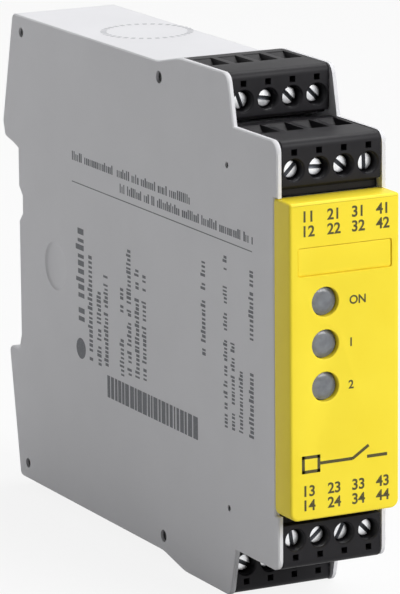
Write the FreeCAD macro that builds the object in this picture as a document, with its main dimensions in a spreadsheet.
import FreeCAD, Part

import math
import os

import Sketcher

# A 22.5 mm wide safety relay for a 35 mm top-hat rail.
# Frame: X across the module, Y from the front to the back, Z up.
# The origin is the middle of the face that seats on the rail.
# "Depth" is measured backwards from the front of the cap, and "rise" from the middle height.

SIZES = {
    # envelope
    "module_width": 22.5,
    "plate_thickness": 0.9,
    "wall_thickness": 1.2,
    "rail_to_front": 114.5,
    "step_half_height": 40.0,
    # side outline, depths from the cap's front
    "plate_front": 4.8,
    "slope_foot": 21.6,
    "slope_run": 2.2,
    "ramp_lead": 0.5,
    "ramp_run": 9.0,
    "ramp_drop": 1.9,
    "back_top_reach": 1.7,
    "back_bottom_reach": 1.4,
    "back_tip_reach": 7.0,
    "back_tip_rise": 25.0,
    "shoulder_lip_rise": 22.0,
    "shoulder_rise": 21.2,
    "recess_rise": 20.4,
    "recess_corner_reach": 2.4,
    "lip_inset": 0.9,
    "foot_recess_rise": 17.9,
    "foot_corner_reach": 1.2,
    "foot_shoulder_reach": 5.8,
    "relief_top": 12.8,
    "relief_bottom": 5.7,
    "relief_depth": 1.6,
    "relief_slant": 1.8,
    "nose_relief_rise": 13.4,
    "nose_relief_depth": 0.3,
    "corner_round": 2.2,
    "tip_round": 1.1,
    "ramp_round": 12.0,
    "edge_bevel": 0.25,
    "overlap": 0.3,
    "overcut": 1.0,
    "lead_in": 0.8,
    "hook_slope": 1.6,
    # cap
    "cap_depth": 6.0,
    "cap_over_floor": 0.45,
    "cap_wall": 1.1,
    "cap_face": 1.5,
    "cap_edge_bevel": 0.4,
    "cap_corner_round": 1.6,
    "cap_gap": 0.15,
    "snap_half_width": 3.0,
    "snap_length": 5.4,
    "snap_thickness": 1.1,
    "snap_barb": 0.5,
    "snap_barb_length": 1.8,
    "tag_width": 19.4,
    "tag_height": 5.3,
    "tag_rise": 18.55,
    "tag_recess": 0.5,
    "tag_thickness": 0.3,
    "tag_gap": 0.15,
    # indicator windows
    "window_count": 3,
    "window_pitch": 7.87,
    "window_side": -4.05,
    "window_top_rise": 10.85,
    "window_radius": 2.75,
    "window_recess": 0.7,
    "lens_gap": 0.1,
    "guide_bar_thickness": 0.8,
    "guide_rod_half_width": 1.5,
    "guide_rod_end": 7.0,
    "guide_bar_half_width": 0.9,
    "led_half_width": 1.3,
    "led_length": 3.6,
    "led_gap": 0.6,
    "led_base_length": 2.2,
    "led_base_half_height": 1.9,
    # terminal tiers
    "pole_count": 4,
    "pole_pitch": 5.08,
    "front_tier_depth": 5.0,
    "rear_tier_depth": 24.3,
    "block_top_gap": 0.1,
    # plug-in terminal block, lengths backwards from its face and reaches from its screw axis
    "block_side_gap": 0.2,
    "block_length": 19.2,
    "block_outer_reach": 5.5,
    "block_inner_reach": 3.7,
    "block_edge_round": 1.3,
    "undercut_height": 0.7,
    "undercut_depth": 1.6,
    "nose_length": 4.6,
    "nose_side_inset": 0.5,
    "nose_outer_reach": 1.5,
    "nose_inner_reach": 3.3,
    "test_slot_width": 1.2,
    "test_slot_reach": 3.3,
    "test_slot_depth": 5.0,
    "screw_recess": 1.8,
    "screw_bore_radius": 2.0,
    "web_thickness": 1.6,
    "running_gap": 0.05,
    "chamber_gap": 0.1,
    "chamber_length": 9.8,
    "chamber_inner_reach": 2.8,
    "chamber_outer_reach": 2.3,
    "entry_mouth_front": 8.9,
    "entry_mouth_length": 7.7,
    "entry_mouth_half_width": 1.95,
    "entry_mouth_depth": 1.4,
    "entry_throat_front": 10.3,
    "entry_throat_length": 3.6,
    "entry_throat_half_width": 1.4,
    # clamp screw and cage
    "screw_head_radius": 1.65,
    "screw_head_height": 1.7,
    "screw_shank_radius": 1.25,
    "screw_shank_length": 6.05,
    "slot_width": 0.65,
    "slot_depth": 0.8,
    "cage_front": 8.1,
    "cage_nut_wall": 1.5,
    "cage_opening": 3.8,
    "cage_floor": 0.8,
    "cage_half_width": 1.75,
    "cage_side_wall": 0.45,
    "cage_half_length": 1.9,
    # contact and header
    "contact_half_width": 1.1,
    "contact_bar_front": 9.8,
    "contact_bar_thickness": 0.8,
    "contact_strip_thickness": 0.6,
    "receptacle_lap": 0.6,
    "receptacle_reach": 4.0,
    "receptacle_outer_reach": 0.5,
    "pin_width": 1.0,
    "pin_reach": 0.9,
    "pin_gap": 0.1,
    "pin_tip_reach": 1.0,
    "pin_bend_reach": 10.8,
    "pin_bend_step": 2.2,
    "pin_tail": 0.3,
    "bay_gap": 1.7,
    "floor_thickness": 0.9,
    "header_gap": 0.2,
    "header_flange_thickness": 1.0,
    "header_flange_outer_reach": 3.1,
    "header_flange_gap": 0.1,
    "header_wall": 0.75,
    "header_fit": 0.15,
    "header_floor_gap": 0.3,
    "header_base": 0.7,
    # main board and what stands on it
    "board_thickness": 1.6,
    "board_cover_gap": 0.45,
    "board_front_depth": 10.0,
    "board_edge_gap": 0.6,
    "board_seat_gap": 7.5,
    "board_end_inset": 3.0,
    "relay_length": 40.0,
    "relay_height": 15.5,
    "relay_width": 13.0,
    "relay_depth": 64.5,
    "relay_spacing": 17.0,
    "relay_edge_bevel": 0.6,
    "capacitor_length": 18.0,
    "capacitor_thickness": 8.0,
    "capacitor_height": 12.5,
    "capacitor_depth": 74.0,
    "capacitor_inset": 17.6,
    "chip_side": 7.0,
    "chip_height": 1.4,
    "chip_depth": 44.0,
    "chip_spacing": 22.0,
    # joining pins between the shell and the cover
    "rear_pin_seat_gap": 2.3,
    "rear_pin_inset": 3.3,
    "rear_pin_hole_radius": 1.0,
    "mid_pin_reach": 8.4,
    "mid_pin_inset": 3.0,
    "mid_pin_hole_radius": 1.2,
    "boss_wall": 0.45,
    "boss_length": 1.75,
    "boss_gap": 0.35,
    "pin_set_back": 2.1,
    # rail hook, foot and its spring
    "rail_half_height": 17.5,
    "rail_edge_gap": 0.3,
    "rail_flange_gap": 1.5,
    "hook_half_width": 5.0,
    "hook_nose_length": 3.4,
    "hook_nose_thickness": 2.6,
    "seat_wall_thickness": 3.2,
    "foot_half_width": 4.0,
    "foot_thickness": 3.0,
    "foot_gap": 0.2,
    "foot_end_inset": 0.3,
    "foot_arm_height": 3.2,
    "foot_travel": 3.5,
    "foot_window_reach": 8.5,
    "foot_window_inset": 6.6,
    "foot_window_half_width": 1.9,
    "foot_slot_inset": 2.4,
    "foot_slot_height": 1.2,
    "foot_slot_half_width": 2.3,
    "guide_wall": 1.2,
    "guide_lip": 0.9,
    "guide_reach": 9.0,
    "guide_end_inset": 3.6,
    "spring_peg_inset": 8.6,
    "spring_peg_height": 1.8,
    "spring_peg_half_width": 1.2,
    "spring_half_width": 1.1,
    "spring_half_depth": 1.0,
    "spring_half_strip": 0.3,
    "spring_folds": 6,
}

# The angle of each clamp screw's slot, in degrees, as the screws happen to stand.
SLOT_ANGLES = {
    "upper_rear": (70, 10, 45, 45),
    "upper_front": (135, 4, 40, 88),
    "lower_front": (82, 140, 118, 45),
    "lower_rear": (28, 75, 12, 55),
}

TIERS = ("upper_front", "upper_rear", "lower_front", "lower_rear")


class Size:
    """A length that knows its number and the document expression that gives it."""

    def __init__(self, number, text):
        self.number = number
        self.text = text

    def __add__(self, other):
        return Size(self.number + number_of(other), f"({self.text} + {text_of(other)})")

    def __sub__(self, other):
        return Size(self.number - number_of(other), f"({self.text} - {text_of(other)})")

    def __mul__(self, other):
        return Size(self.number * number_of(other), f"({self.text} * {text_of(other)})")

    def __truediv__(self, other):
        return Size(self.number / number_of(other), f"({self.text} / {text_of(other)})")

    def __neg__(self):
        return Size(-self.number, f"(0 - {self.text})")


def number_of(value):
    return value.number if isinstance(value, Size) else float(value)


def text_of(value):
    return value.text if isinstance(value, Size) else repr(float(value))


doc = FreeCAD.newDocument("safety_relay")
sheet = doc.addObject("Spreadsheet::Sheet", "sizes")
for row, (alias, value) in enumerate(SIZES.items(), 1):
    sheet.set(f"A{row}", alias)
    sheet.set(f"B{row}", str(value))
    sheet.setAlias(f"B{row}", alias)
doc.recompute()


def size(alias):
    return Size(float(sheet.get(alias)), f"sizes.{alias}")


def bind(item, path, value):
    item.setExpression(path, text_of(value))


# --- how the document's features are made ---

def new_body(label):
    body = doc.addObject("PartDesign::Body", label)
    body.Label = label
    return body


def origin_item(body, role):
    return next(item for item in body.Origin.OriginFeatures if item.Role == role)


def place(body, x, y, z, turn=0):
    """Moves a body to its place, after a turn about the Y axis in degrees."""
    position = FreeCAD.Vector(number_of(x), number_of(y), number_of(z))
    body.Placement = FreeCAD.Placement(position, FreeCAD.Rotation(FreeCAD.Vector(0, 1, 0), turn))
    for path, value in (("x", x), ("y", y), ("z", z)):
        bind(body, f".Placement.Base.{path}", value)


def new_sketch(body, name, plane, lift=0):
    """A sketch on one of the body's origin planes, lifted along the plane's normal."""
    sketch = body.newObject("Sketcher::SketchObject", name)
    sketch.AttachmentSupport = [(origin_item(body, f"{plane}_Plane"), "")]
    sketch.MapMode = "FlatFace"
    sketch.AttachmentOffset = FreeCAD.Placement(FreeCAD.Vector(0, 0, number_of(lift)), FreeCAD.Rotation())
    bind(sketch, ".AttachmentOffset.Base.z", lift)
    return sketch


def dimension(sketch, kind, *where, value):
    """Adds a named dimension to a sketch and binds it to the sizes."""
    index = sketch.addConstraint(Sketcher.Constraint(kind, *where, number_of(value)))
    name = f"{kind}{index}"
    sketch.renameConstraint(index, name)
    bind(sketch, f"Constraints.{name}", value)


def add_polygon(sketch, corners):
    first = sketch.GeometryCount
    points = [FreeCAD.Vector(number_of(across), number_of(up), 0) for across, up in corners]
    following = points[1:] + points[:1]
    sketch.addGeometry([Part.LineSegment(a, b) for a, b in zip(points, following)])
    count = len(corners)
    joins = [Sketcher.Constraint("Coincident", first + i, 2, first + (i + 1) % count, 1) for i in range(count)]
    sketch.addConstraint(joins)
    for i, (across, up) in enumerate(corners):
        dimension(sketch, "DistanceX", -1, 1, first + i, 1, value=across)
        dimension(sketch, "DistanceY", -1, 1, first + i, 1, value=up)


def add_rectangle(sketch, left, right, low, high):
    add_polygon(sketch, [(left, low), (right, low), (right, high), (left, high)])


def add_circle(sketch, across, up, radius):
    index = sketch.GeometryCount
    centre = FreeCAD.Vector(number_of(across), number_of(up), 0)
    sketch.addGeometry([Part.Circle(centre, FreeCAD.Vector(0, 0, 1), number_of(radius))])
    dimension(sketch, "DistanceX", -1, 1, index, 3, value=across)
    dimension(sketch, "DistanceY", -1, 1, index, 3, value=up)
    dimension(sketch, "Radius", index, value=radius)


def extrude(body, kind, name, profile, length, reverse, both):
    feature = body.newObject(f"PartDesign::{kind}", name)
    feature.Profile = profile
    feature.Length = number_of(length)
    bind(feature, "Length", length)
    feature.Reversed = reverse
    if both:
        feature.SideType = "Symmetric"
    profile.Visibility = False
    return feature


def pad(body, name, profile, length, reverse=False, both=False):
    return extrude(body, "Pad", name, profile, length, reverse, both)


def pocket(body, name, profile, length, reverse=False, both=False):
    return extrude(body, "Pocket", name, profile, length, reverse, both)


def repeat(body, name, originals, role, pitch, count, reverse=False):
    """Repeats features along one of the body's axes."""
    pattern = body.newObject("PartDesign::LinearPattern", name)
    pattern.Originals = originals
    pattern.Direction = (origin_item(body, role), [""])
    pattern.Mode = "Spacing"
    pattern.Offset = number_of(pitch)
    bind(pattern, "Offset", pitch)
    pattern.Occurrences = int(number_of(count))
    bind(pattern, "Occurrences", count)
    pattern.Reversed = reverse
    body.Tip = pattern
    return pattern


def mirror(body, name, originals, plane):
    """Repeats features on the other side of one of the body's planes."""
    copy = body.newObject("PartDesign::Mirrored", name)
    copy.Originals = originals
    copy.MirrorPlane = (origin_item(body, f"{plane}_Plane"), [""])
    body.Tip = copy
    return copy


def edges_along(body, axis, corners):
    """Names of the tip's straight edges along an axis (0, 1 or 2) that pass through given corners."""
    doc.recompute()
    others = [i for i in range(3) if i != axis]
    wanted = [(number_of(a), number_of(b)) for a, b in corners]
    names = []
    for i, edge in enumerate(body.Tip.Shape.Edges, 1):
        ends = [v.Point for v in edge.Vertexes]
        if len(ends) != 2 or edge.Curve.TypeId != "Part::GeomLine":
            continue
        if any(abs(ends[0][k] - ends[1][k]) > 1e-6 for k in others):
            continue
        if any(all(abs(ends[0][k] - w) < 1e-4 for k, w in zip(others, corner)) for corner in wanted):
            names.append(f"Edge{i}")
    return names


def edges_on(body, axis, level):
    """Names of the tip's edges that lie wholly in one plane across an axis."""
    doc.recompute()
    names = []
    for i, edge in enumerate(body.Tip.Shape.Edges, 1):
        box = edge.BoundBox
        low = (box.XMin, box.YMin, box.ZMin)[axis]
        high = (box.XMax, box.YMax, box.ZMax)[axis]
        if abs(low - number_of(level)) < 1e-4 and abs(high - number_of(level)) < 1e-4:
            names.append(f"Edge{i}")
    return names


def soften(body, kind, name, amount, edges):
    """Rounds (Fillet) or bevels (Chamfer) edges of the tip."""
    if not edges:
        raise RuntimeError(f"{name}: no edge found")
    base = body.Tip
    feature = body.newObject(f"PartDesign::{kind}", name)
    feature.Base = (base, edges)
    path = "Radius" if kind == "Fillet" else "Size"
    setattr(feature, path, number_of(amount))
    bind(feature, path, amount)
    body.Tip = feature
    return feature


# --- places that several pieces share ---

half_width = size("module_width") / 2
inner_half = half_width - size("plate_thickness")
inner_width = inner_half * 2
front = -size("rail_to_front")
first_pole = -size("pole_pitch") * (size("pole_count") - 1) / 2
board_back_face = -inner_half + size("board_cover_gap")
board_face = board_back_face + size("board_thickness")
seat_inner = -size("seat_wall_thickness")
floor_reach = size("block_inner_reach") + size("bay_gap")
tier_pitch = floor_reach + size("floor_thickness") + size("header_flange_gap") + size("header_flange_outer_reach")
tier_half_height = size("step_half_height") + tier_pitch
rear_half_height = tier_half_height - size("ramp_drop")
front_tier_rise = size("step_half_height") - size("block_top_gap") - size("block_outer_reach")
tier_rise = {"front": front_tier_rise, "rear": front_tier_rise + tier_pitch}
cap_half_height = tier_rise["front"] - floor_reach + size("cap_over_floor")
ramp_start = size("rear_tier_depth") + size("block_length") - size("ramp_lead")
receptacle_front = size("block_length") - size("receptacle_lap")
receptacle_end = size("block_length") + size("receptacle_reach")
pin_tip_depth = size("block_length") + size("pin_tip_reach")
pin_first_bend = size("block_length") + size("pin_bend_reach")
foot_window_top = size("rail_half_height") + size("foot_window_reach")
foot_window_bottom = rear_half_height - size("foot_window_inset")
spring_peg_rise = rear_half_height - size("spring_peg_inset")
header_face = size("block_length") + size("header_gap")
header_end = header_face + size("nose_length") + size("header_floor_gap") + size("header_base")


def at_depth(depth):
    return depth + front


def tier_place(tier):
    """Face depth as Y, axis height as Z, and the turn of one terminal tier."""
    side, row_name = tier.split("_")
    y = at_depth(size(f"{row_name}_tier_depth"))
    rise = tier_rise[row_name]
    if side == "upper":
        return y, rise, 0
    return y, -rise, 180


def side_corners():
    """Corners of the housing's side walls, from the lower front round the back to the upper front."""
    front_edge = at_depth(size("plate_front"))
    cap_edge = at_depth(size("cap_depth") + size("cap_gap"))
    cap_rise = cap_half_height + size("cap_gap")
    slope_foot = at_depth(size("slope_foot"))
    slope_top = slope_foot + size("slope_run")
    ramp_top = at_depth(ramp_start)
    ramp_end = ramp_top + size("ramp_run")
    step = size("step_half_height")
    tall = tier_half_height
    rear = rear_half_height
    upper = [
        (ramp_end, rear),
        (ramp_top, tall),
        (slope_top, tall),
        (slope_foot, step),
        (front_edge, step),
        (front_edge, cap_rise),
        (cap_edge, cap_rise),
    ]
    lower = [(y, -z) for y, z in reversed(upper)]
    relief = -size("relief_depth")
    tip = size("back_tip_reach")
    foot_tip = size("foot_shoulder_reach")
    back = [
        (size("back_bottom_reach"), -rear),
        (foot_tip, -size("shoulder_rise")),
        (size("foot_corner_reach"), -size("shoulder_rise")),
        (0, -size("foot_recess_rise")),
        (0, size("relief_bottom")),
        (relief, size("relief_bottom") + size("relief_slant")),
        (relief, size("relief_top") - size("relief_slant")),
        (0, size("relief_top")),
        (0, size("recess_rise")),
        (size("recess_corner_reach"), size("shoulder_rise")),
        (tip - size("lip_inset"), size("shoulder_lip_rise")),
        (tip, size("back_tip_rise")),
        (size("back_top_reach"), rear),
    ]
    return lower + back + upper


def round_side(body, corners):
    """Rounds the corners of a side wall that the real moulding rounds."""
    steps = {
        "corner_round": [corners[i] for i in (2, 4, 22, 24)],
        "ramp_round": [corners[i] for i in (5, 6, 20, 21)],
        "tip_round": [corners[i] for i in (7, 8, 17, 18, 19)],
    }
    for alias, places in steps.items():
        soften(body, "Fillet", f"{body.Label}_{alias}", size(alias), edges_along(body, 0, places))


# --- housing ---

def make_side_cover():
    """The flat left-hand side of the housing, with bosses for the shell's pins."""
    body = new_body("side_cover")
    outer = -half_width
    corners = side_corners()
    outline = new_sketch(body, "cover_outline", "YZ", outer)
    add_polygon(outline, corners)
    pad(body, "cover_plate", outline, size("plate_thickness"))
    round_side(body, corners)
    soften(body, "Chamfer", "cover_rim", size("edge_bevel"), edges_on(body, 0, outer))
    bosses = new_sketch(body, "cover_bosses", "YZ", -inner_half)
    for depth, rise, radius in pin_places():
        half = radius + size("boss_wall")
        add_rectangle(bosses, depth - half, depth + half, rise - half, rise + half)
    pad(body, "cover_boss", bosses, size("boss_length"))
    holes = new_sketch(body, "cover_holes", "YZ", outer)
    for depth, rise, radius in pin_places():
        add_circle(holes, depth, rise, radius)
    pocket(body, "cover_hole", holes, size("plate_thickness") + size("boss_length"), reverse=True)
    return body


def pin_places():
    """Y, Z and hole radius of each pin that joins the shell and the cover."""
    along = {
        "rear_pin": -size("rear_pin_seat_gap"),
        "mid_pin": at_depth(ramp_start + size("mid_pin_reach")),
    }
    places = []
    for name, y in along.items():
        for sign in (1, -1):
            rise = (rear_half_height - size(f"{name}_inset")) * sign
            places.append((y, rise, size(f"{name}_hole_radius")))
    return places


def bay_corners():
    """Section of the two terminal bays above the middle, open to the front and the top."""
    open_front = at_depth(size("plate_front") - size("overcut"))
    open_top = tier_half_height + size("overcut")
    lap = size("header_flange_thickness") / 2
    low_floor = tier_rise["front"] - floor_reach
    high_floor = tier_rise["rear"] - floor_reach
    low_back = at_depth(size("front_tier_depth") + header_face)
    high_back = at_depth(size("rear_tier_depth") + header_face)
    ceiling = tier_half_height - size("wall_thickness") - size("overlap")
    return [
        (open_front, low_floor),
        (low_back + lap, low_floor),
        (low_back + lap, high_floor - size("floor_thickness")),
        (low_back, high_floor - size("floor_thickness")),
        (low_back, high_floor),
        (high_back + lap, high_floor),
        (high_back + lap, ceiling),
        (high_back, ceiling),
        (high_back, open_top),
        (open_front, open_top),
    ]


def cavity_corners():
    """Section of the space inside the housing behind the bays and the cap."""
    wall = size("wall_thickness")
    low_floor = tier_rise["front"] - floor_reach - size("floor_thickness")
    high_floor = tier_rise["rear"] - floor_reach - size("floor_thickness")
    low_back = at_depth(size("front_tier_depth") + header_face)
    high_back = at_depth(size("rear_tier_depth") + header_face)
    ceiling = rear_half_height - wall
    ramp_end = at_depth(ramp_start + size("ramp_run"))
    upper = [
        (at_depth(size("plate_front") - size("overcut")), low_floor),
        (low_back, low_floor),
        (low_back, high_floor),
        (high_back, high_floor),
        (high_back, tier_half_height - wall - size("overlap")),
        (ramp_end, ceiling),
    ]
    lower = [(y, -z) for y, z in upper]
    back_top = size("back_top_reach")
    back_bottom = size("back_bottom_reach")
    tip = size("back_tip_reach")
    shelf = size("shoulder_rise") + wall
    back = [
        (back_top - wall, ceiling),
        (tip - wall, size("back_tip_rise") + size("overlap")),
        (tip - wall - size("overlap"), shelf),
        (seat_inner, shelf),
        (seat_inner, -shelf),
        (size("foot_shoulder_reach") - wall - size("overlap"), -shelf),
        (back_bottom - wall - size("overlap"), -ceiling),
    ]
    return upper + back + list(reversed(lower))


def make_housing_shell():
    """The tub: right-hand side, roof, floor, back, bay floors, rail hook and joining pins."""
    body = new_body("housing_shell")
    corners = side_corners()
    outline = new_sketch(body, "shell_outline", "YZ", half_width)
    add_polygon(outline, corners)
    pad(body, "shell_block", outline, half_width + inner_half, reverse=True)
    round_side(body, corners)
    soften(body, "Chamfer", "shell_rim", size("edge_bevel"), edges_on(body, 0, half_width))
    cavity = new_sketch(body, "shell_cavity_outline", "YZ", -inner_half)
    add_polygon(cavity, cavity_corners())
    pocket(body, "shell_cavity", cavity, inner_width, reverse=True)
    bay = new_sketch(body, "shell_bay_outline", "YZ", -inner_half)
    add_polygon(bay, bay_corners())
    upper_bay = pocket(body, "shell_upper_bay", bay, inner_width, reverse=True)
    mirror(body, "shell_lower_bay", [upper_bay], "XY")
    add_snap_slots(body)
    add_nose_relief(body)
    add_rail_hook(body)
    add_foot_way(body)
    pins = new_sketch(body, "shell_pin_outline", "YZ", half_width - size("plate_thickness") / 2)
    for depth, rise, radius in pin_places():
        add_circle(pins, depth, rise, radius - size("pin_gap"))
    reach = size("module_width") - size("plate_thickness") / 2 - size("pin_set_back")
    pad(body, "shell_pins", pins, reach, reverse=True)
    return body


def add_snap_slots(body):
    """A slot in each front bay floor that the cap's barb springs into."""
    gap = size("cap_gap")
    start = at_depth(size("cap_depth") + size("snap_length") - size("snap_barb_length") - gap)
    end = at_depth(size("cap_depth") + size("snap_length") + gap)
    slot = new_sketch(body, "snap_slot_outline", "XY", tier_rise["front"] - floor_reach)
    half = size("snap_half_width") + gap
    add_rectangle(slot, -half, half, start, end)
    cut = pocket(body, "snap_slot_upper", slot, size("floor_thickness"))
    mirror(body, "snap_slot_lower", [cut], "XY")


def add_nose_relief(body):
    """Sets the seat back a little under the foot's nose, so that flash there can't hold the rail off."""
    relief = new_sketch(body, "nose_relief_outline", "YZ")
    low = -size("foot_recess_rise")
    add_rectangle(relief, -size("nose_relief_depth"), size("overcut"), low, -size("nose_relief_rise"))
    pocket(body, "nose_relief", relief, size("module_width"), both=True)


def add_rail_hook(body):
    """The fixed hook that holds the rail's upper flange."""
    gap = size("rail_flange_gap")
    thick = size("hook_nose_thickness")
    root = size("rail_half_height") + size("rail_edge_gap")
    tip = size("rail_half_height") - size("hook_nose_length")
    top = size("shoulder_rise") + size("wall_thickness")
    hook = new_sketch(body, "rail_hook_outline", "YZ")
    add_polygon(hook, [
        (seat_inner, root),
        (gap, root),
        (gap, tip + size("lead_in")),
        (gap + size("lead_in"), tip),
        (gap + thick, tip + size("hook_slope")),
        (gap + thick + size("lead_in"), top),
        (seat_inner, top),
    ])
    pad(body, "rail_hook", hook, size("hook_half_width") * 2, both=True)


def add_foot_way(body):
    """The foot's guides, its openings and the peg that its spring pushes on."""
    gap = size("foot_gap")
    half = size("foot_half_width") + gap
    back = seat_inner - gap
    way_front = back - size("foot_thickness") - gap
    arm_top = -(size("rail_half_height") - size("running_gap"))
    arm_low = arm_top - size("foot_arm_height") - size("foot_travel") - size("rail_edge_gap") - gap
    mouth = new_sketch(body, "foot_mouth_outline", "YZ")
    roof = rear_half_height
    ceiling = roof - size("wall_thickness") - size("overlap")
    add_rectangle(mouth, way_front, seat_inner, -(roof + size("overcut")), -ceiling)
    pocket(body, "foot_mouth", mouth, half * 2, both=True)
    wall = new_sketch(body, "foot_back_outline", "YZ")
    wall_back = seat_inner + size("wall_thickness")
    add_rectangle(wall, seat_inner, wall_back, -ceiling, -size("shoulder_rise"))
    slot = new_sketch(body, "foot_arm_slot_outline", "YZ")
    pad(body, "foot_back", wall, (half + size("guide_wall")) * 2, both=True)
    add_rectangle(slot, seat_inner - size("overlap"), size("back_tip_reach"), arm_low, arm_top)
    pocket(body, "foot_arm_slot", slot, half * 2, both=True)
    guide_bottom = rear_half_height - size("guide_end_inset")
    guide_top = size("rail_half_height") + size("guide_reach")
    rails = new_sketch(body, "foot_guide_outline", "XY", -guide_bottom)
    lip_front = way_front - size("guide_lip")
    add_polygon(rails, [
        (half, seat_inner + size("overlap")),
        (half, way_front),
        (half - size("guide_lip"), way_front),
        (half - size("guide_lip"), lip_front),
        (half + size("guide_wall"), lip_front),
        (half + size("guide_wall"), seat_inner + size("overlap")),
    ])
    right = pad(body, "foot_guide_right", rails, guide_bottom - guide_top)
    mirror(body, "foot_guide_left", [right], "YZ")
    peg = new_sketch(body, "spring_peg_outline", "YZ")
    peg_top = -spring_peg_rise
    peg_low = peg_top - size("spring_peg_height")
    add_rectangle(peg, way_front + gap, seat_inner + size("overlap"), peg_low, peg_top)
    pad(body, "spring_peg", peg, size("spring_peg_half_width") * 2, both=True)


def make_front_cap():
    """The clip-on front with its indicator windows and the recess for a marking tag."""
    body = new_body("front_cap")
    tall = cap_half_height
    outline = new_sketch(body, "cap_outline", "XZ")
    add_rectangle(outline, -half_width, half_width, -tall, tall)
    pad(body, "cap_block", outline, size("cap_depth"), reverse=True)
    soften(body, "Fillet", "cap_corner", size("cap_corner_round"), edges_along(body, 0, [(0, -tall)]))
    sides = [(half_width, 0), (-half_width, 0)]
    soften(body, "Chamfer", "cap_edges", size("cap_edge_bevel"), edges_along(body, 2, sides))
    hollow = new_sketch(body, "cap_hollow_outline", "XZ", -size("cap_face"))
    wall = size("cap_wall")
    add_rectangle(hollow, -(half_width - wall), half_width - wall, -(tall - wall), tall - wall)
    pocket(body, "cap_hollow", hollow, size("cap_depth"))
    windows = new_sketch(body, "cap_window_outline", "XZ")
    add_circle(windows, size("window_side"), size("window_top_rise"), size("window_radius"))
    window = pocket(body, "cap_window", windows, size("cap_face"))
    repeat(body, "cap_windows", [window], "Z_Axis", size("window_pitch"), size("window_count"), reverse=True)
    tag = new_sketch(body, "tag_recess_outline", "XZ")
    add_tag_outline(tag, 0)
    pocket(body, "tag_recess", tag, size("tag_recess"))
    add_cap_snaps(body)
    place(body, 0, front, 0)
    return body


def add_tag_outline(sketch, inset):
    half = size("tag_width") / 2 - inset
    low = size("tag_rise") - size("tag_height") / 2 + inset
    high = size("tag_rise") + size("tag_height") / 2 - inset
    add_rectangle(sketch, -half, half, low, high)


def add_cap_snaps(body):
    """A springy tab on the top and bottom walls, each with a barb for the shell's slot."""
    gap = size("cap_gap")
    face = tier_rise["front"] - floor_reach - size("floor_thickness") - gap
    start = size("cap_face") - size("overlap")
    end = size("cap_depth") + size("snap_length")
    barb = face + size("snap_barb")
    snap = new_sketch(body, "cap_snap_outline", "YZ")
    add_polygon(snap, [
        (start, face - size("snap_thickness")),
        (end - size("lead_in"), face - size("snap_thickness")),
        (end, face),
        (end - size("snap_barb"), barb),
        (end - size("snap_barb_length"), barb),
        (end - size("snap_barb_length"), face),
        (start, face),
    ])
    upper = pad(body, "cap_snap_upper", snap, size("snap_half_width") * 2, both=True)
    mirror(body, "cap_snap_lower", [upper], "XY")


def make_marker_tag():
    """The plain tag in the cap's recess, seated on the recess floor."""
    body = new_body("marker_tag")
    outline = new_sketch(body, "tag_outline", "XZ", -size("tag_recess"))
    add_tag_outline(outline, size("tag_gap"))
    pad(body, "tag_plate", outline, size("tag_thickness"))
    place(body, 0, front, 0)
    return body


def make_light_guide():
    """One clear moulding: three lenses behind the cap's windows, joined by a bar."""
    body = new_body("light_guide")
    side = size("window_side")
    top = size("window_top_rise")
    lens = new_sketch(body, "lens_outline", "XZ", -size("window_recess"))
    add_circle(lens, side, top, size("window_radius") - size("lens_gap"))
    bar_end = size("cap_face") + size("guide_bar_thickness")
    lens_pad = pad(body, "lens", lens, bar_end - size("window_recess"), reverse=True)
    rod = new_sketch(body, "guide_rod_outline", "XZ", -bar_end)
    half = size("guide_rod_half_width")
    add_rectangle(rod, side - half, side + half, top - half, top + half)
    rod_pad = pad(body, "guide_rod", rod, size("guide_rod_end") - bar_end, reverse=True)
    bar = new_sketch(body, "guide_bar_outline", "XZ", -size("cap_face"))
    bottom = top - size("window_pitch") * (size("window_count") - 1)
    half = size("guide_bar_half_width")
    add_rectangle(bar, side - half, side + half, bottom, top)
    pad(body, "guide_bar", bar, size("guide_bar_thickness"), reverse=True)
    repeat(body, "guide_row", [lens_pad, rod_pad], "Z_Axis",
           size("window_pitch"), size("window_count"), reverse=True)
    place(body, 0, front, 0)
    return body


# --- plug-in terminals ---

def make_terminal_block(tier):
    """A four-pole plug: screw bores in its face, wire entries in its outer side, sockets behind."""
    body = new_body(f"terminal_block_{tier}")
    half = inner_half - size("block_side_gap")
    outer = size("block_outer_reach")
    inner = size("block_inner_reach")
    outline = new_sketch(body, "block_outline", "XZ")
    add_rectangle(outline, -half, half, -inner, outer)
    pad(body, "block_body", outline, size("block_length"), reverse=True)
    soften(body, "Fillet", "block_edge", size("block_edge_round"),
           edges_along(body, 0, [(0, outer)]))
    undercut = new_sketch(body, "undercut_outline", "XZ")
    add_rectangle(undercut, -half, half, -inner, -(inner - size("undercut_height")))
    pocket(body, "undercut", undercut, size("undercut_depth"))
    nose = new_sketch(body, "nose_outline", "XZ", -size("block_length"))
    nose_half = half - size("nose_side_inset")
    add_rectangle(nose, -nose_half, nose_half, -size("nose_inner_reach"), size("nose_outer_reach"))
    pad(body, "nose", nose, size("nose_length"), reverse=True)
    doc.recompute()
    pole = [
        cut_test_slot(body),
        cut_screw_bore(body),
        cut_screw_way(body),
        cut_chamber(body),
        cut_entry_mouth(body),
        cut_entry_throat(body),
        cut_contact_channel(body),
    ]
    repeat(body, "poles", pole, "X_Axis", size("pole_pitch"), size("pole_count"))
    y, z, turn = tier_place(tier)
    place(body, 0, y, z, turn)
    return body


def cut_test_slot(body):
    slot = new_sketch(body, "test_slot_outline", "XZ")
    half = size("test_slot_width") / 2
    reach = size("test_slot_reach")
    add_rectangle(slot, first_pole - half, first_pole + half, reach - half, reach + half)
    return pocket(body, "test_slot", slot, size("test_slot_depth"))


def screw_seat():
    """Depth of the web under the screw's head, from the block's face."""
    return size("screw_recess") + size("screw_head_height") + size("running_gap")


def chamber_front():
    return screw_seat() + size("web_thickness")


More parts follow.
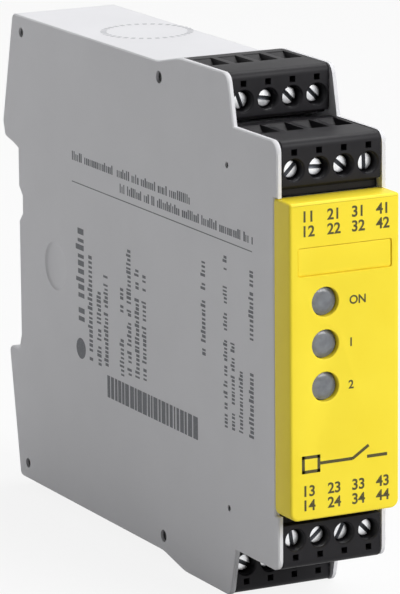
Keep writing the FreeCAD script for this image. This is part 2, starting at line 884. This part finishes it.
def cut_screw_bore(body):
    bore = new_sketch(body, "screw_bore_outline", "XZ")
    add_circle(bore, first_pole, 0, size("screw_bore_radius"))
    return pocket(body, "screw_bore", bore, screw_seat())


def cut_screw_way(body):
    way = new_sketch(body, "screw_way_outline", "XZ", -screw_seat())
    half = size("screw_shank_radius") + size("running_gap")
    add_rectangle(way, first_pole - half, first_pole + half, -half, half)
    return pocket(body, "screw_way", way, size("web_thickness"))


def cut_chamber(body):
    chamber = new_sketch(body, "chamber_outline", "XZ", -chamber_front())
    half = size("cage_half_width") + size("chamber_gap")
    low = -size("chamber_inner_reach")
    add_rectangle(chamber, first_pole - half, first_pole + half, low, size("chamber_outer_reach"))
    return pocket(body, "chamber", chamber, size("chamber_length"))


def entry_outline(body, name, level):
    """One step of the wire's way in: the wide mouth at the outer side, or the throat below it."""
    outline = new_sketch(body, f"entry_{name}_outline", "XY", level)
    half = size(f"entry_{name}_half_width")
    start = size(f"entry_{name}_front")
    add_rectangle(outline, first_pole - half, first_pole + half, start, start + size(f"entry_{name}_length"))
    return outline


def cut_entry_mouth(body):
    mouth = entry_outline(body, "mouth", size("block_outer_reach"))
    return pocket(body, "entry_mouth", mouth, size("entry_mouth_depth"))


def cut_entry_throat(body):
    throat = entry_outline(body, "throat", size("block_outer_reach") - size("entry_mouth_depth"))
    length = size("block_outer_reach") - size("entry_mouth_depth") - size("chamber_outer_reach")
    return pocket(body, "entry_throat", throat, length)


def cut_contact_channel(body):
    end = size("block_length") + size("nose_length")
    channel = new_sketch(body, "contact_channel_outline", "XZ", -end)
    half = size("contact_half_width")
    low = -size("chamber_inner_reach")
    add_rectangle(channel, first_pole - half, first_pole + half, low, size("receptacle_outer_reach"))
    length = end - chamber_front() - size("chamber_length")
    return pocket(body, "contact_channel", channel, length, reverse=True)


def make_clamp_screw(tier, pole):
    """A slotted cheese-head screw that turns in place. Its thread is drawn as a bar of eight flats."""
    body = new_body(f"clamp_screw_{tier}_{pole + 1}")
    head = new_sketch(body, "screw_head_outline", "XZ", -size("screw_recess"))
    add_circle(head, 0, 0, size("screw_head_radius"))
    pad(body, "screw_head", head, size("screw_head_height"), reverse=True)
    shank = new_sketch(body, "screw_shank_outline", "XZ", -(size("screw_recess") + size("screw_head_height")))
    full = size("screw_shank_radius")
    part = full * math.sqrt(0.5)
    add_polygon(shank, [
        (full, 0), (part, part), (0, full), (-part, part), (-full, 0), (-part, -part), (0, -full), (part, -part),
    ])
    pad(body, "screw_shank", shank, size("screw_shank_length"), reverse=True)
    slot = new_sketch(body, "screw_slot_outline", "XZ", -size("screw_recess"))
    half = size("slot_width") / 2
    reach = size("screw_head_radius") + size("overlap")
    add_rectangle(slot, -reach, reach, -half, half)
    pocket(body, "screw_slot", slot, size("slot_depth"))
    place_pole(body, tier, pole, SLOT_ANGLES[tier][pole])
    return body


def place_pole(body, tier, pole, turn=0):
    """Puts a piece on the axis of one pole of a tier."""
    y, z, block_turn = tier_place(tier)
    x = first_pole + size("pole_pitch") * pole
    place(body, x, y, z, block_turn + turn)


def make_clamp_cage(tier, pole):
    """A square loop whose front wall the screw draws forward, so that its floor grips the wire."""
    body = new_body(f"clamp_cage_{tier}_{pole + 1}")
    start = size("cage_front")
    opening = start + size("cage_nut_wall")
    opening_end = opening + size("cage_opening")
    half = size("cage_half_width")
    loop = new_sketch(body, "cage_outline", "XY")
    add_rectangle(loop, -half, half, start, opening_end + size("cage_floor"))
    inner = half - size("cage_side_wall")
    add_rectangle(loop, -inner, inner, opening, opening_end)
    pad(body, "cage_loop", loop, size("cage_half_length") * 2, both=True)
    way = new_sketch(body, "cage_way_outline", "XZ", -start)
    half = size("screw_shank_radius") + size("running_gap")
    add_rectangle(way, -half, half, -half, half)
    pocket(body, "cage_way", way, size("cage_nut_wall"))
    place_pole(body, tier, pole)
    return body


def make_plug_contacts(tier):
    """Four contacts: a bar in the clamp, a strip below the cage and a socket for the header's pin."""
    body = new_body(f"plug_contacts_{tier}")
    low = -size("chamber_inner_reach")
    strip = low + size("contact_strip_thickness")
    bar = size("contact_bar_front")
    bar_back = bar + size("contact_bar_thickness")
    bar_top = size("cage_half_length")
    socket = receptacle_front
    end = receptacle_end
    top = size("receptacle_outer_reach")
    side = new_sketch(body, "contact_outline", "YZ", first_pole)
    add_polygon(side, [
        (bar, low),
        (end, low),
        (end, top),
        (socket, top),
        (socket, strip),
        (bar_back, strip),
        (bar_back, bar_top),
        (bar, bar_top),
    ])
    strip_pad = pad(body, "contact_strip", side, size("contact_half_width") * 2, both=True)
    hole = new_sketch(body, "contact_socket_outline", "XZ", -end)
    half = size("pin_width") / 2 + size("pin_gap")
    axis = -size("pin_reach")
    add_rectangle(hole, first_pole - half, first_pole + half, axis - half, axis + half)
    depth = end - pin_tip_depth + size("pin_gap") * 3
    socket_cut = pocket(body, "contact_socket", hole, depth, reverse=True)
    repeat(body, "contact_row", [strip_pad, socket_cut], "X_Axis", size("pole_pitch"), size("pole_count"))
    y, z, turn = tier_place(tier)
    place(body, 0, y, z, turn)
    return body


def make_pin_header(tier):
    """The socket on the board side that the block's nose plugs into."""
    body = new_body(f"pin_header_{tier}")
    fit = size("header_fit")
    wall = size("header_wall")
    flange = new_sketch(body, "header_flange_outline", "XZ", -header_face)
    add_rectangle(flange, -inner_half, inner_half, -floor_reach, size("header_flange_outer_reach"))
    pad(body, "header_flange", flange, size("header_flange_thickness"), reverse=True)
    low = -(size("nose_inner_reach") + fit)
    high = size("nose_outer_reach") + fit
    shroud = new_sketch(body, "header_shroud_outline", "XZ", -header_face)
    add_rectangle(shroud, -inner_half, inner_half, low - wall, high + wall)
    pad(body, "header_shroud", shroud, header_end - header_face, reverse=True)
    nose_half = inner_half - size("block_side_gap") - size("nose_side_inset") + fit
    mouth = new_sketch(body, "header_mouth_outline", "XZ", -header_face)
    add_rectangle(mouth, -nose_half, nose_half, low, high)
    pocket(body, "header_mouth", mouth, header_end - header_face - size("header_base"))
    doc.recompute()
    hole = new_sketch(body, "header_hole_outline", "XZ", -(header_end - size("header_base")))
    half = size("pin_width") / 2
    axis = -size("pin_reach")
    add_rectangle(hole, first_pole - half, first_pole + half, axis - half, axis + half)
    hole_cut = pocket(body, "header_hole", hole, size("header_base"))
    repeat(body, "header_holes", [hole_cut], "X_Axis", size("pole_pitch"), size("pole_count"))
    y, z, turn = tier_place(tier)
    place(body, 0, y, z, turn)
    return body


def pin_bends():
    """For each pole of an upright tier, its X and how far behind the block's face its pin bends."""
    return [
        (first_pole + size("pole_pitch") * pole, pin_first_bend + size("pin_bend_step") * pole)
        for pole in range(int(number_of(size("pole_count"))))
    ]


def make_header_pins(side):
    """Bent square pins from two headers to the board, the far ones bending further back."""
    body = new_body(f"header_pins_{side}")
    half = size("pin_width") / 2
    axis_sign = 1 if side == "upper" else -1
    for row_name in ("front", "rear"):
        y, z, turn = tier_place(f"{side}_{row_name}")
        level = z - size("pin_reach") * axis_sign
        outline = new_sketch(body, f"{row_name}_pin_outline", "XY", level)
        for x, bend in pin_bends():
            tip = y + pin_tip_depth
            tail = board_back_face - size("pin_tail")
            turn_y = y + bend
            add_polygon(outline, [
                (x - half, tip),
                (x + half, tip),
                (x + half, turn_y + half),
                (tail, turn_y + half),
                (tail, turn_y - half),
                (x - half, turn_y - half),
            ])
        pad(body, f"{row_name}_pins", outline, size("pin_width"), both=True)
    return body


# --- board and what stands on it ---

def make_main_board():
    """The circuit board, stepped round the headers, with holes for their pins."""
    body = new_body("main_board")
    gap = size("board_edge_gap")
    low = tier_rise["front"] - floor_reach - size("floor_thickness") - gap
    middle = tier_rise["rear"] - floor_reach - size("floor_thickness") - gap
    tall = rear_half_height - size("board_end_inset")
    first_step = at_depth(size("front_tier_depth") + header_end + gap)
    second_step = at_depth(size("rear_tier_depth") + header_end + gap)
    snap_end = at_depth(size("board_front_depth"))
    back = -size("board_seat_gap")
    upper = [
        (back, tall),
        (second_step, tall),
        (second_step, middle),
        (first_step, middle),
        (first_step, low),
        (snap_end, low),
    ]
    lower = [(y, -z) for y, z in reversed(upper)]
    outline = new_sketch(body, "board_outline", "YZ", board_back_face)
    add_polygon(outline, upper + lower)
    pad(body, "board_plate", outline, size("board_thickness"))
    notches = new_sketch(body, "board_notch_outline", "YZ", board_back_face)
    for depth, rise, radius in pin_places():
        half = radius + size("boss_wall") + size("boss_gap")
        add_rectangle(notches, depth - half, depth + half, rise - half, rise + half)
    pocket(body, "board_notches", notches, size("board_thickness"), reverse=True)
    holes = new_sketch(body, "board_pin_holes", "YZ", board_back_face)
    half = size("pin_width") / 2 + size("pin_gap")
    for tier in TIERS:
        y, z, turn = tier_place(tier)
        level = z - size("pin_reach") * (1 if turn == 0 else -1)
        for x, bend in pin_bends():
            add_rectangle(holes, y + bend - half, y + bend + half, level - half, level + half)
    pocket(body, "board_holes", holes, size("board_thickness"), reverse=True)
    return body


def make_relay(index):
    """A sealed relay with force-guided contacts, lying along the board."""
    body = new_body(f"guided_relay_{index + 1}")
    middle = size("relay_spacing") * (0.5 - index)
    half = size("relay_width") / 2
    start = at_depth(size("relay_depth"))
    outline = new_sketch(body, "relay_outline", "YZ", board_face)
    add_rectangle(outline, start, start + size("relay_length"), middle - half, middle + half)
    pad(body, "relay_case", outline, size("relay_height"))
    soften(body, "Chamfer", "relay_edges", size("relay_edge_bevel"),
           edges_on(body, 0, board_face + size("relay_height")))
    return body


def make_capacitor():
    """The supply's film capacitor, standing on the board."""
    body = new_body("capacitor")
    case = new_sketch(body, "capacitor_outline", "YZ", board_face)
    middle = at_depth(size("capacitor_depth"))
    rise = rear_half_height - size("capacitor_inset")
    half = size("capacitor_length") / 2
    half_height = size("capacitor_thickness") / 2
    add_rectangle(case, middle - half, middle + half, rise - half_height, rise + half_height)
    pad(body, "capacitor_case", case, size("capacitor_height"))
    soften(body, "Chamfer", "capacitor_edges", size("relay_edge_bevel"),
           edges_on(body, 0, board_face + size("capacitor_height")))
    return body


def make_logic_chips():
    """The two logic chips, one for each channel."""
    body = new_body("logic_chips")
    outline = new_sketch(body, "chip_outline", "YZ", board_face)
    start = at_depth(size("chip_depth"))
    half = size("chip_side") / 2
    for sign in (1, -1):
        middle = size("chip_spacing") / 2 * sign
        add_rectangle(outline, start - half, start + half, middle - half, middle + half)
    pad(body, "chip_cases", outline, size("chip_height"))
    return body


def make_status_leds():
    """Three lamps on spacers at the board's front edge, each behind its light guide."""
    body = new_body("status_leds")
    lamp_front = size("guide_rod_end") + size("led_gap")
    base_front = lamp_front + size("led_length")
    side = size("window_side")
    top = size("window_top_rise")
    half = size("led_base_half_height")
    base = new_sketch(body, "led_base_outline", "XZ", -base_front)
    add_rectangle(base, board_face, side + half, top - half, top + half)
    base_pad = pad(body, "led_base", base, size("led_base_length"), reverse=True)
    lamp = new_sketch(body, "led_outline", "XZ", -lamp_front)
    half = size("led_half_width")
    add_rectangle(lamp, side - half, side + half, top - half, top + half)
    lamp_pad = pad(body, "led_lamp", lamp, size("led_length"), reverse=True)
    repeat(body, "led_row", [base_pad, lamp_pad], "Z_Axis",
           size("window_pitch"), size("window_count"), reverse=True)
    place(body, 0, front, 0)
    return body


# --- rail foot ---

def make_rail_foot():
    """The sliding foot: a flat slider with a nose for the rail's lower flange and a pull slot."""
    body = new_body("rail_foot")
    back = seat_inner - size("foot_gap")
    face = back - size("foot_thickness")
    nose_gap = size("rail_flange_gap")
    thick = size("hook_nose_thickness")
    arm_top = -(size("rail_half_height") + size("rail_edge_gap"))
    tip = -(size("rail_half_height") - size("hook_nose_length"))
    arm_low = arm_top - size("foot_arm_height")
    bottom = size("foot_end_inset") - rear_half_height
    side = new_sketch(body, "foot_side", "YZ")
    add_polygon(side, [
        (face, bottom),
        (back, bottom),
        (back, arm_low),
        (nose_gap + thick - size("lead_in"), arm_low),
        (nose_gap + thick, arm_low + size("lead_in")),
        (nose_gap + thick, tip - size("hook_slope")),
        (nose_gap + size("lead_in"), tip),
        (nose_gap, tip - size("lead_in")),
        (nose_gap, arm_top),
        (face, arm_top),
    ])
    pad(body, "foot_slider", side, size("foot_half_width") * 2, both=True)
    window = new_sketch(body, "foot_window_outline", "XZ", -face)
    half = size("foot_window_half_width")
    add_rectangle(window, -half, half, -foot_window_bottom, -foot_window_top)
    half = size("foot_slot_half_width")
    slot_half = size("foot_slot_height") / 2
    rise = size("foot_slot_inset") - rear_half_height
    add_rectangle(window, -half, half, rise - slot_half, rise + slot_half)
    pocket(body, "foot_openings", window, size("foot_thickness"))
    return body


def make_foot_spring():
    """The folded strip spring in the foot's window, from the shell's peg up to the foot."""
    body = new_body("foot_spring")
    height = spring_peg_rise - foot_window_top
    folds = int(number_of(size("spring_folds")))
    strip = size("spring_half_strip")
    rise = height / size("spring_folds")
    half = size("spring_half_width")
    path = [(half * (1 if fold % 2 else -1), rise * fold) for fold in range(folds + 1)]
    left = [(across - strip, up) for across, up in path]
    right = [(across + strip, up) for across, up in reversed(path)]
    side = new_sketch(body, "spring_outline", "XZ")
    add_polygon(side, left + right)
    pad(body, "spring_strip", side, size("spring_half_depth") * 2, both=True)
    middle = seat_inner - size("foot_gap") - size("foot_thickness") / 2
    place(body, 0, middle, -spring_peg_rise)
    return body


def make_all():
    pieces = [make_housing_shell(), make_side_cover(), make_front_cap(), make_marker_tag(), make_light_guide()]
    for tier in TIERS:
        pieces.append(make_terminal_block(tier))
        pieces.append(make_plug_contacts(tier))
        pieces.append(make_pin_header(tier))
        for pole in range(int(number_of(size("pole_count")))):
            pieces.append(make_clamp_screw(tier, pole))
            pieces.append(make_clamp_cage(tier, pole))
    pieces += [make_header_pins("upper"), make_header_pins("lower"), make_main_board(), make_status_leds()]
    pieces += [make_relay(0), make_relay(1), make_capacitor(), make_logic_chips()]
    pieces += [make_rail_foot(), make_foot_spring()]
    return pieces


def check_features(body):
    """Every adding feature must add material and every cutting feature must remove some."""
    volume = 0
    for item in body.Group:
        if not item.isDerivedFrom("PartDesign::Feature"):
            continue
        change = item.Shape.Volume - volume
        volume = item.Shape.Volume
        adds = item.TypeId == "PartDesign::Pad"
        cuts = item.TypeId == "PartDesign::Pocket"
        if (adds and change <= 0) or (cuts and change >= 0):
            raise RuntimeError(f"{body.Label}: {item.Label} changes nothing")


def check_and_export(pieces):
    doc.recompute()
    for item in doc.Objects:
        if "Invalid" in item.State or "Error" in item.State:
            raise RuntimeError(f"{item.Label}: {item.State}")
    for piece in pieces:
        if piece.Shape.isNull() or not piece.Shape.isValid():
            raise RuntimeError(f"{piece.Label}: bad shape")
        check_features(piece)
    os.makedirs("parts", exist_ok=True)
    for piece in pieces:
        piece.Shape.exportStep(os.path.join("parts", f"{piece.Label}.step"))
        print(piece.Label, len(piece.Shape.Solids), round(piece.Shape.Volume, 2))


check_and_export(make_all())
